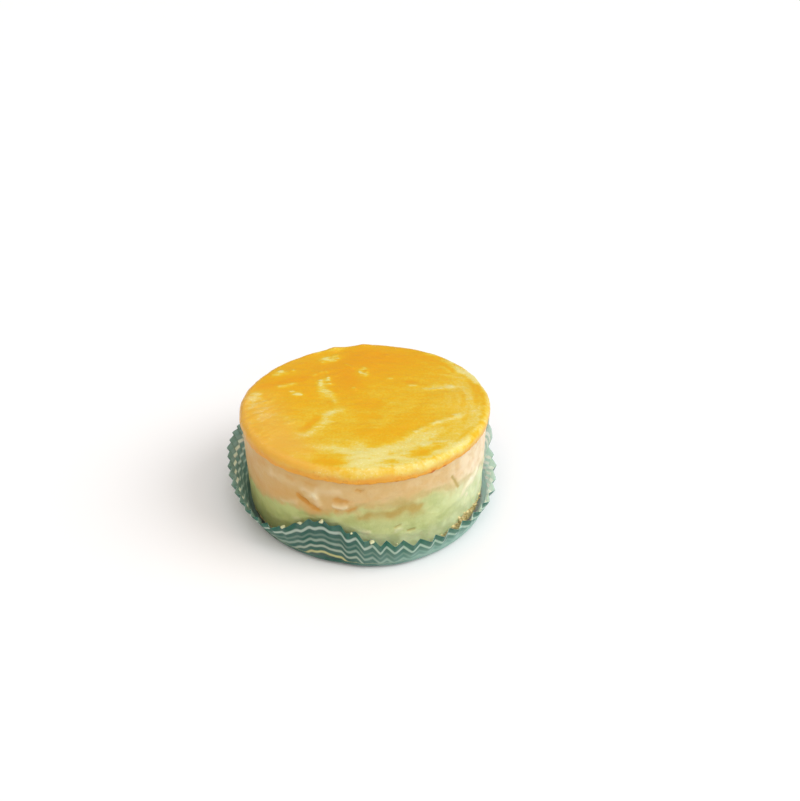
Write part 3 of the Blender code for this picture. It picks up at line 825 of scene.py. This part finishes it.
spongeTop = {
    "height": 39.5, "middle": 35.6, "columns": 720, "flatRings": 84, "edgeSteps": 13,
    "sideSteps": 11, "edgeIn": 2.4, "underIn": 0.9, "widest": 0.45,
    "underside": (
        (0, 36.0), (60, 36.1), (120, 36.1), (180, 35.9), (225, 35.4), (270, 34.7), (300, 34.9),
        (330, 35.6),
    ),
    "outline": (
        (0, 45.4), (45, 45.5), (75, 45.2), (100, 44.6), (120, 43.9), (148, 44.0), (175, 44.9),
        (200, 45.0), (270, 45.0), (315, 44.9), (340, 45.0),
    ),
    "lumps": ((93, 4.0, 0.5), (109, 3.5, 0.7)),
    # height of the browned line on the side, and darker spots on it (angle, width, strength)
    "browning": (
        (0, 1.8), (90, 1.4), (180, 2.6), (215, 4.2), (240, 3.8), (262, 3.0), (285, 2.8), (300, 2.1),
        (325, 1.7),
    ),
    "spots": (
        (301.9, 1.3, 1.2), (308.0, 1.8, 0.8), (285.3, 0.8, 0.4), (291.0, 3.5, 0.4), (273.0, 2.5, 0.25),
    ),
    # soft fields of the glazed skin: middle, half lengths, turn, strength from -1, deep, to 1, pale; the
    # pale fields along the front are partly a painted reflection on the glaze
    "fields": (
        ((-2, 27), (24, 13), 8, -0.62), ((-9, 12), (6, 16), 5, -0.42), ((4, 34), (14, 5), -8, -0.35),
        ((-31, 12.5), (10, 2.0), 24, -0.5), ((-30, 9), (15, 16), 20, -0.3), ((2, -11), (4, 2.6), 0, -0.45),
        ((17, 13), (2.2, 1.2), -20, -0.6), ((-17.5, -15.5), (7, 1.3), 62, -0.5),
        ((-8, -36), (6, 3), 0, -0.35), ((8, -21.5), (10, 4), -4, -0.3), ((28, -31.5), (8, 2.8), 34, 0.5),
        ((33, 12), (9, 12), 20, 0.12), ((24, -2), (15, 16), 0, 0.14),
        ((3, -36), (14, 7), 2, 0.62), ((17, -26.5), (12, 3.5), 32, 0.6),
        ((31, -20), (10, 6), 48, 0.3), ((36, -8), (6, 9), 20, 0.25),
        ((-40.5, 1), (2.2, 3.8), 0, 0.6), ((-38, -8), (4, 6), 30, 0.35), ((-34, -20), (7, 11), 30, -0.05),
        ((-15.5, 11), (2.3, 7.5), 8, 0.6), ((-12, 3.5), (1.8, 3.4), 30, 0.55),
        ((-14.5, 32), (4.6, 2.8), 20, 0.7), ((-2, 20.5), (2.4, 3.8), 0, 0.75),
        ((-5, 9), (1.2, 2.2), 0, 0.4), ((-31, 10.5), (4.2, 1.8), 15, 0.55), ((-31, 20), (5, 2.2), 10, 0.4),
        ((-13, -11), (5.5, 2.6), 52, 0.5), ((-20, -22), (4, 2.6), 30, 0.45),
        ((-25, 4), (1.8, 1.4), 0, 0.7), ((41, 17), (2.2, 4.6), 22, 1.0), ((35.5, 22), (4, 2), -50, 0.55),
        ((33, 30), (3.4, 2), -48, 0.5), ((24, 36), (5, 1.4), -32, 0.4), ((-12, 40), (7, 1.6), 16, 0.6),
        ((26, 8.5), (7, 1.4), 8, 0.4), ((30.5, 9), (2.2, 1.4), 0, 0.5),
        ((-11.5, -31.5), (8, 1.7), -12, 0.5), ((24, -33), (7, 2.4), 28, 0.45),
        ((-17, -36), (5, 1.6), -24, 0.3),
    ),
    # where the skin is a warm peachy gold: middle, half lengths, turn, strength
    "blush": (
        ((-36, -10), (11, 20), 22, 0.75), ((-24, -30), (12, 9), -38, 0.7), ((34, 2), (12, 24), 0, 0.3),
        ((-28, 30), (10, 6), 45, 0.3),
    ),
    # brush strokes in the glaze: from and to (x, y), half width, strength as above; the pale ones and the
    # small dabs are painted highlights on the raised glaze
    "strokes": (
        ((-17.7, 29.3), (-10.8, 33.3), 1.1, 1.1), ((-8.1, 26.5), (-5.2, 23.8), 0.7, 1.2),
        ((-1.4, 23.4), (-0.4, 22.6), 0.9, 1.5), ((-0.7, 18.7), (0.3, 18.1), 1.0, 1.5),
        ((-4.5, 8.0), (-3.9, 7.5), 0.8, 1.1), ((-14.9, 17.3), (-13.2, 11.4), 0.6, 1.3),
        ((-16.2, 13.5), (-15.1, 6.4), 1.6, 0.45), ((-12.6, 3.9), (-11.8, 3.3), 0.9, 1.1),
        ((-11.6, 1.7), (-9.8, -3.2), 0.7, 0.5), ((-25.3, 3.5), (-24.2, 3.1), 0.9, 1.1),
        ((-29.6, 19.5), (-28.4, 20.3), 1.2, 0.9), ((-34.5, 18.2), (-32.8, 19.8), 1.2, 0.7),
        ((-32.0, 9.2), (-26.9, 11.0), 0.9, 0.9), ((-43.1, -1.1), (-40.0, 2.9), 1.3, 1.0),
        ((-39.7, -4.9), (-36.4, -2.9), 0.8, 0.7), ((-36.8, -10.0), (-34.2, -6.0), 1.0, 0.5),
        ((-24.2, -14.7), (-23.4, -14.1), 0.9, 0.9), ((-27.2, -13.2), (-26.6, -12.6), 0.9, 0.5),
        ((-19.6, -22.8), (-17.2, -20.3), 1.4, 0.5), ((-15.8, -17.2), (-9.1, -9.0), 1.8, 0.6),
        ((2.6, -20.3), (5.9, -18.4), 1.2, 0.4), ((9.0, 15.2), (9.5, 15.0), 0.8, 0.7),
        ((17.6, 10.5), (18.3, 10.1), 0.8, 0.8), ((21.0, 7.5), (24.6, 6.9), 0.5, 0.8),
        ((24.6, 6.9), (28.1, 7.8), 0.6, 0.9), ((31.0, 9.0), (31.9, 9.4), 0.8, 0.9),
        ((28.8, 10.6), (29.3, 10.8), 0.7, 0.5), ((29.0, 19.1), (36.8, 15.8), 0.9, 0.3),
        ((35.4, 21.8), (36.8, 21.0), 1.0, 0.8), ((40.3, 18.0), (42.9, 13.9), 1.1, 1.1),
        ((33.0, 29.9), (33.8, 29.4), 1.0, 0.8), ((22.0, 36.2), (27.0, 34.6), 0.8, 0.6),
        ((18.4, -21.4), (25.3, -15.3), 0.7, 0.8), ((25.3, -15.3), (32.3, -11.5), 0.9, 0.8),
        ((32.3, -11.5), (39.3, -7.7), 0.7, 0.7), ((30.0, -13.4), (33.0, -12.0), 1.0, 0.5),
        ((37.8, -1.3), (38.4, -0.9), 0.9, 0.5),
        ((-0.0, -36.3), (12.8, -35.2), 2.0, 0.6), ((-1.3, -39.7), (13.4, -39.6), 2.0, 0.6),
        ((21.0, -29.5), (27.0, -27.5), 1.2, 0.6), ((-25.5, -37.0), (-23.5, -36.4), 1.6, 0.5),
        ((-33.6, 20.6), (-32.9, 21.0), 0.6, 1.3), ((-28.6, 21.4), (-28.1, 21.6), 0.5, 1.3),
        ((-20.5, 17.8), (-19.6, 18.4), 0.5, 1.2), ((-17.8, 19.8), (-17.0, 20.2), 0.5, 1.2),
        ((-15.4, 21.0), (-15.0, 20.2), 0.5, 1.2), ((-17.2, 14.0), (-16.4, 10.5), 0.5, 1.1),
        ((-12.2, 30.4), (-11.4, 31.2), 0.6, 1.3), ((-16.8, 31.6), (-15.8, 32.4), 0.6, 1.2),
        ((-13.5, 34.0), (-11.9, 34.4), 0.5, 1.3), ((-2.4, 20.6), (-2.0, 19.4), 0.5, 1.4),
        ((0.3, 21.0), (0.5, 20.0), 0.5, 1.4), ((-27.6, 5.2), (-26.8, 5.4), 0.5, 1.1),
        ((-22.6, 1.2), (-22.2, 0.9), 0.5, 1.0), ((-36.0, -2.0), (-35.0, -1.2), 0.5, 1.0),
        ((-26.4, -16.4), (-25.8, -16.0), 0.6, 1.0), ((6.8, 33.6), (7.6, 33.8), 0.5, 0.8),
        ((-21.5, 36.0), (-19.6, 36.8), 0.6, 0.9), ((38.4, 20.6), (39.2, 19.6), 0.6, 1.0),
        ((-38.1, 9.2), (-24.5, 15.8), 1.2, -0.9), ((-6.4, 19.8), (-4.8, 11.0), 2.4, -0.7),
        ((-3.0, 31.5), (4.0, 31.0), 3.5, -0.7), ((-20.2, -20.3), (-16.1, -13.4), 1.3, -0.7),
        ((-1.0, -4.2), (3.0, -3.6), 2.0, -0.5), ((16.4, 13.0), (17.9, 12.6), 0.8, -0.8),
        ((13.5, -32.9), (20.9, -32.5), 1.0, -0.4), ((20.9, -32.5), (28.7, -29.6), 0.8, -0.15),
        ((3.0, -28.4), (8.5, -27.8), 1.4, -0.4), ((-13.5, -39.1), (-6.1, -39.7), 1.6, -0.6),
    ),
    "deep": (0.77, 0.355, 0.003), "gold": (0.76, 0.42, 0.005), "yellow": (0.76, 0.50, 0.026),
    "straw": (0.77, 0.56, 0.075), "pale": (0.77, 0.64, 0.17), "milky": (0.78, 0.68, 0.24),
    "glint": (0.84, 0.79, 0.42), "side": (0.73, 0.47, 0.10), "browned": (0.77, 0.36, 0.045),
    "burnt": (0.55, 0.16, 0.02), "blushed": (0.78, 0.43, 0.06),
    # patterns of unevenness: strength, place in the noise, size, seed, layers, and where it is
    # stretched the shares of (x, y) across and along, which in ring patterns are (radius, angle)
    "mottle": {
        "driftX": (1.3, 0.0, 5.5, 105, 2), "driftY": (0.8, 9.0, 4.5, 109, 2),
        "dabs": (0.9, 0.0, 1.7, 71, 2, (0.45, 0.15), (0, 1.5)),
        "clouds": (0.16, 1.0, 9.0, 91, 2, (0.8, -0.3), (0.2, 0.9)),
        "grains": (0.09, 2.0, 1.5, 95, 3), "rimGrains": (0.28, 5.0, 1.7, 117, 3),
        "dashes": (0.10, 2.0, 1.6, 113, 3, (0.35, 0.2), (0, 1.3)),
        "frontStreaks": (0.36, 3.0, 1.1, 81, 3, (0.22, 0), (0, 1)),
        "leftStreaks": (0.5, 7.0, 1.4, 85, 3, (0.45, 0.45), (0.9, -0.9)),
        "ringStreaks": (0.38, 5.0, 1.8, 89, 2, (1, 0), (0, 0.1)),
        "ringWaves": (0.05, 4.0, 2.4, 97, 2, (1.1, 0), (0, 0.16)),
        "swell": (0.18, 0.0, 15.0, 99, 2), "ripples": (0.06, 0.0, 2.2, 101, 3, (0.6, 0), (0, 1)),
        "leftWrinkles": (0.08, 3.0, 1.6, 103, 2, (0.4, 0.4), (1, -1)),
        "outlineWave": (0.18, 0.0, 6.0, 61, 2), "raggedEdge": (0.28, 0.0, 2.6, 63, 3),
        "browningWave": (0.35, 0.0, 4.0, 65, 2), "glazeEdge": (0.12, 0.0, 3.0, 69, 2),
    },
    # parts of the top, from where each starts to where it is full, in x, y or radius
    "frontY": (-24, -34), "frontLeftX": (-24, 0), "frontRightX": (42, 26),
    "leftX": (-24, -36), "leftY": (8, -4), "ringsOut": (26, 40), "ringsX": (0, 22),
    "paleRimOut": (40.5, 44.0), "paleRimAcross": (-8, 16), "paleRimY": (30, 10),
    "paleRimLean": 0.6, "paleRim": 0.2,
    "warmRimOut": (41.0, 44.6), "warmRimY": (25, -5), "warmRimX": (34, 6), "warmLeftX": (0, -20),
    "warmRim": 0.4,
    # strokes: how much they drift with the fields, how broad, pale, broken and raised they are; the
    # paleness of the pale strokes is painted highlight
    "strokeDrift": 0.35, "strokeWidth": 1.4, "strokePale": 0.75, "strokeBroken": 0.6,
    "strokeRelief": 0.16,
    # side: how far the lower edge hangs, how browned it is, its pits, and where glaze and lumps begin
    "ragged": 0.25, "spotHang": 0.3, "browningLow": 1.15, "spotFade": (2.2, 0.2),
    "pits": 0.14, "pitSize": 1.2, "glazeFrom": (0.40, 0.80), "lumpsFrom": (0.86, 0.97),
    "meanRadius": 45, "underShares": (0.3, 0.6, 0.9),
    "finish": {
        "Roughness": 0.42, "Coat Roughness": 0.2, "Coat IOR": 1.3, "Specular IOR Level": 0.15,
        "Subsurface Weight": 0.12, "Subsurface Radius": (1.0, 0.5, 0.1),
        "Subsurface Scale": 1.2 * mm,
    },
}


def patch(x, y, middle, halfLengths, turn):
    # 1 in the middle of an oval, fading out past its half lengths
    dx, dy = x - middle[0], y - middle[1]
    turn = math.radians(turn)
    along = (dx * math.cos(turn) + dy * math.sin(turn)) / halfLengths[0]
    across = (dy * math.cos(turn) - dx * math.sin(turn)) / halfLengths[1]
    return np.exp(-along**2 - across**2)


def mottle(x, y, name):
    strength, place, size, seed, layers, *stretch = spongeTop["mottle"][name]
    if stretch:
        x, y = (x * shareX + y * shareY for shareX, shareY in stretch)
    return strength * softNoise(x, y, place, size, seed, layers)


def glazeField(x, y):
    # how pale the glazed skin is, from -1, deep orange, to 1, pale yellow, how peachy, and its relief; the
    # paleness holds the skin's own colour, painted highlights from the strokes and a painted reflection
    # along the front
    top = spongeTop
    radius, angle = np.hypot(x, y), np.degrees(np.arctan2(y, x))
    driftX, driftY = mottle(x, y, "driftX"), mottle(x, y, "driftY")
    pale, blush = (
        sum(strength * patch(x + driftX, y + driftY, middle, size, turn)
            for middle, size, turn, strength in top[patches])
        for patches in ("fields", "blush")
    )
    relief = 0.0 * x
    share = top["strokeDrift"]
    broken = (top["strokeBroken"] + mottle(x, y, "dabs")).clip(0.0, 1.4)
    for start, end, halfWidth, strength in top["strokes"]:
        width = halfWidth * top["strokeWidth"]
        near = stroke(x + driftX * share, y + driftY * share, (start, end), width)
        # painted highlights: the pale strokes lighten the skin
        pale = pale + strength * top["strokePale"] * near * (broken if strength > 0 else 1.0)
        relief = relief + top["strokeRelief"] * near * max(strength, 0.0)
    pale += mottle(x, y, "clouds") + mottle(x, y, "grains") + mottle(x, y, "dashes")
    # streaks in the painted reflection along the front
    front = smoothStep(*top["frontLeftX"], x) * smoothStep(*top["frontRightX"], x)
    pale += smoothStep(*top["frontY"], y) * front * mottle(x, y, "frontStreaks")
    left = smoothStep(*top["leftX"], x) * smoothStep(*top["leftY"], y)
    pale += left * mottle(x, y, "leftStreaks")
    rings = smoothStep(*top["ringsOut"], radius) * smoothStep(*top["ringsX"], x)
    pale += rings * mottle(radius, angle, "ringStreaks")
    across = x - top["paleRimLean"] * y
    rim = smoothStep(*top["paleRimOut"], radius) * smoothStep(*top["paleRimAcross"], across)
    pale += rim * smoothStep(*top["paleRimY"], y) * (top["paleRim"] + mottle(x, y, "rimGrains"))
    rim = smoothStep(*top["warmRimOut"], radius) * smoothStep(*top["warmRimY"], y)
    rim = rim * smoothStep(*top["warmRimX"], x) * (1 + smoothStep(*top["warmLeftX"], x))
    blush += top["warmRim"] * rim
    relief += mottle(radius, angle, "ringWaves") + mottle(x, y, "swell") + mottle(x, y, "ripples")
    relief += left * mottle(x, y, "leftWrinkles")
    return pale, blush, relief * smoothStep(0.0, 2.0, radius)


def glazedSkin():
    top = spongeTop
    material, tree, shader = newMaterial("glazedSkin", top["finish"])
    # the paleness holds painted highlights and a painted reflection as well as the skin's own colour
    pale = roughen(tree, readMark(tree, "pale"), 0.9, 4.0, 0.8)
    skin = colourRamp(tree, fade(tree, pale, -1.2, 1.2), [
        (0.0, top["deep"]), (0.42, top["gold"]), (0.6, top["yellow"]), (0.73, top["straw"]),
        (0.87, top["pale"]), (1.0, top["milky"]),
    ])
    skin = mixColour(tree, fade(tree, readMark(tree, "blush"), 0.0, 1.2), skin, top["blushed"])
    glints = fade(tree, grain(tree, 0.75, 2.0), 0.56, 0.68)
    glints = calculate(tree, "MULTIPLY", glints, fade(tree, readMark(tree, "pale"), 0.1, 0.8))
    skin = mixColour(tree, calculate(tree, "MULTIPLY", glints, 0.5), skin, top["glint"])
    baked = roughen(tree, readMark(tree, "baked"), 1.3, 3.0, 0.5)
    rim = mixColour(tree, fade(tree, baked, 0.1, 0.9), top["side"], top["browned"])
    rim = mixColour(tree, fade(tree, baked, 1.0, 1.9), rim, top["burnt"])
    pores = useGroup(tree, spongePores, {"Size": 1.1, "Spread": 0.3})
    rim = mixColour(tree, calculate(tree, "MULTIPLY", pores["Mask"], 0.35), rim, top["browned"])
    glaze = readMark(tree, "glaze")
    tree.links.new(mixColour(tree, glaze, rim, skin), shader.inputs["Base Color"])
    tree.links.new(calculate(tree, "MULTIPLY", glaze, 0.6), shader.inputs["Coat Weight"])
    sideGrain = calculate(tree, "MULTIPLY", pores["Height"], calculate(tree, "SUBTRACT", 1.0, glaze))
    addBump(tree, shader, [(grain(tree, 0.9, 4.0), 0.22), (sideGrain, 0.4)], 0.5)
    return material


def bumpsAround(angle, bumps):
    # each bump is its angle, width and height
    away = [(angle - place + 180) % 360 - 180 for place, _, _ in bumps]
    return sum(size * np.exp(-(far / width) ** 2) for far, (_, width, size) in zip(away, bumps))


def topRings(angle, outline):
    # radius and share of the thickness of each ring: underside, side, rounded edge, flat top
    top = spongeTop
    lower = np.radians(np.linspace(0, 90, top["sideSteps"]))
    upper = np.radians(np.linspace(0, 90, top["edgeSteps"])[1:])
    insets = np.concatenate([
        top["underIn"] * (1 - np.sin(lower) ** 0.4), top["edgeIn"] * (1 - np.cos(upper))
    ])
    shares = np.concatenate([
        top["widest"] * (1 - np.cos(lower)), top["widest"] + (1 - top["widest"]) * np.sin(upper)
    ])
    inner = outline - top["edgeIn"]
    parts = np.linspace(1, 0, top["flatRings"], endpoint=False)[1:]
    radius = np.concatenate([outline - insets[:, None], inner * parts[:, None]])
    share = np.concatenate([shares, np.ones(len(parts))])[:, None]
    return radius, share + 0 * radius


def addTop():
    top = spongeTop
    angle = np.arange(top["columns"]) * 360 / top["columns"]
    edgeX, edgeY = onCircle(top["meanRadius"], angle)
    outline = around(top["outline"], angle) + mottle(edgeX, edgeY, "outlineWave")
    underside = around(top["underside"], angle)
    ragged = top["ragged"] + mottle(edgeX, edgeY, "raggedEdge")
    spot, lump = bumpsAround(angle, top["spots"]), bumpsAround(angle, top["lumps"])
    radius, share = topRings(angle, outline)
    x, y = onCircle(radius, angle)
    pale, blush, relief = glazeField(x, y)
    low = underside - (ragged + top["spotHang"] * spot) * (1 - share) ** 3
    height = low + (top["height"] - low) * share
    pits = top["pits"] * softNoise(x, y, height, top["pitSize"], 67, 2) * (1 - share)
    line = around(top["browning"], angle) * (1 + mottle(edgeX, edgeY, "browningWave"))
    baked = top["browningLow"] - (height - low) / line
    baked += spot * smoothStep(*top["spotFade"], height - low)
    glaze = smoothStep(*top["glazeFrom"], share + mottle(x, y, "glazeEdge"))
    lump = lump * share * smoothStep(*top["lumpsFrom"], radius / outline)
    skin = polar(radius + pits, angle, height + relief * share**2 + lump)
    under = np.array(coverRings(outline, angle, top["middle"], low[0], top["underShares"]))
    rows = len(under)
    piece = ringBody(
        "glazedSponge", np.concatenate([under, skin]), (0, 0, top["middle"]),
        (0, 0, top["height"] + relief[-1].mean()), glazedSkin(), {
            "pale": np.concatenate([pale[:rows], pale]),
            "blush": np.concatenate([blush[:rows], blush]),
            "baked": np.concatenate([baked[:rows] * 0 + 1, baked]),
            "glaze": np.concatenate([glaze[:rows] * 0, glaze]),
        },
    )
    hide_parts("sponge_top")
    print("glazed sponge,", len(skin) + rows, "rings")


addBase()
addCreamLayer(
    "greenCream", "green_layer",
    lambda angle: around(spongeBase["top"], angle), lambda angle: around(creamLayers["greenTop"], angle),
    spongeBase["middle"], creamLayers["greenMiddle"],
)
addCreamLayer(
    "peachCream", "cream_layer",
    lambda angle: around(creamLayers["greenTop"], angle),
    lambda angle: around(spongeTop["underside"], angle) + creamLayers["intoTop"],
    creamLayers["greenMiddle"], spongeTop["middle"],
)
addTop()


# crumbs of the base between cake and case, and specks of cream caught on the rim

scatter = {
    # angle, height, half width
    "crumbs": (
        (336.0, 5.4, 0.6), (331.6, 4.8, 0.5), (327.2, 6.9, 0.75), (321.9, 5.0, 0.5), (315.3, 6.0, 0.8),
        (313.3, 5.2, 0.5), (308.2, 5.2, 0.65), (319.6, 8.0, 0.75), (341.4, 7.2, 0.7),
        (343.8, 6.0, 0.6), (324.0, 8.2, 0.5), (333.5, 7.0, 0.55), (338.6, 4.6, 0.6),
    ),
    "fineCrumbs": 60, "fineFrom": 304, "fineTo": 349, "fineSize": (0.2, 0.42), "seed": 23,
    "fineBelow": 3.0, "fineAbove": 0.6,  # from the top of the base
    "squash": (0.7, 1.0), "crumbIn": 0.75, "crumbRoughness": 0.35, "bumpSize": 0.8, "bumpSeed": 131,
    # angle, half width
    "specks": ((235.4, 0.8), (243.2, 0.7), (253.2, 0.75), (274.2, 0.8), (266.0, 0.4), (284.5, 0.35)),
    "speckIn": 0.2, "speckSunk": 0.1, "speckSquash": 0.6, "speckRoughness": 0.45,
    "speck": (0.66, 0.68, 0.42), "crumb": (0.96, 0.80, 0.42),
}


def addLumps(name, places, material, roughness):
    # one mesh of small uneven lumps; places are (point, half width, squash)
    lumps = bmesh.new()
    for point, size, squash in places:
        corners = bmesh.ops.create_icosphere(lumps, subdivisions=3, radius=size)["verts"]
        for corner in corners:
            spot = np.array(corner.co)
            place = spot / size + np.array(point)
            wave = softNoise(*place, scatter["bumpSize"], scatter["bumpSeed"], 2)
            corner.co = spot * (1 + roughness * float(wave)) * (1, 1, squash)
        bmesh.ops.translate(lumps, verts=corners, vec=point)
    bmesh.ops.transform(lumps, matrix=Matrix.Scale(mm, 4), verts=lumps.verts)
    mesh = bpy.data.meshes.new(name)
    lumps.to_mesh(mesh)
    lumps.free()
    mesh.shade_smooth()
    mesh.materials.append(material)
    piece = bpy.data.objects.new(name, mesh)
    scene.collection.objects.link(piece)
    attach(piece, "root")
    print(name, len(places))
    return piece


def crumbMaterial(name, colour, roughness):
    material, tree, shader = newMaterial(name, {"Roughness": roughness})
    darker = [part * 0.8 for part in colour]
    drifting = useGroup(tree, tintDrift, {
        "Colour": colour, "Other": darker, "Size": 1.0, "Amount": 0.5,
    })["Colour"]
    tree.links.new(drifting, shader.inputs["Base Color"])
    addBump(tree, shader, [(grain(tree, 0.3, 3.0), 1.0)], 0.15)
    return material


def addCrumbs():
    random = np.random.default_rng(scatter["seed"])
    places = list(scatter["crumbs"])
    for _ in range(scatter["fineCrumbs"]):
        angle = random.uniform(scatter["fineFrom"], scatter["fineTo"])
        top = float(around(spongeBase["top"], angle))
        height = random.uniform(top - scatter["fineBelow"], top + scatter["fineAbove"])
        places.append((angle, height, random.uniform(*scatter["fineSize"])))
    lumps = []
    for angle, height, size in places:
        radius = creamLayers["radius"] - scatter["crumbIn"] + 0.4 * size
        lumps.append((polar(radius, angle, height).tolist(), size, random.uniform(*scatter["squash"])))
    crumb = crumbMaterial("looseCrumb", scatter["crumb"], 0.8)
    piece = addLumps("spongeCrumbs", lumps, crumb, scatter["crumbRoughness"])


def addSpecks():
    case = paperCase
    lumps = []
    for angle, size in scatter["specks"]:
        radius = around(case["rimRadius"], angle) - case["inset"] - scatter["speckIn"]
        height = around(case["rimHeight"], angle) - scatter["speckSunk"]
        lumps.append((polar(radius, angle, height).tolist(), size, scatter["speckSquash"]))
    cream = crumbMaterial("looseCream", scatter["speck"], 0.6)
    piece = addLumps("creamSpecks", lumps, cream, scatter["speckRoughness"])


addCrumbs()
addSpecks()
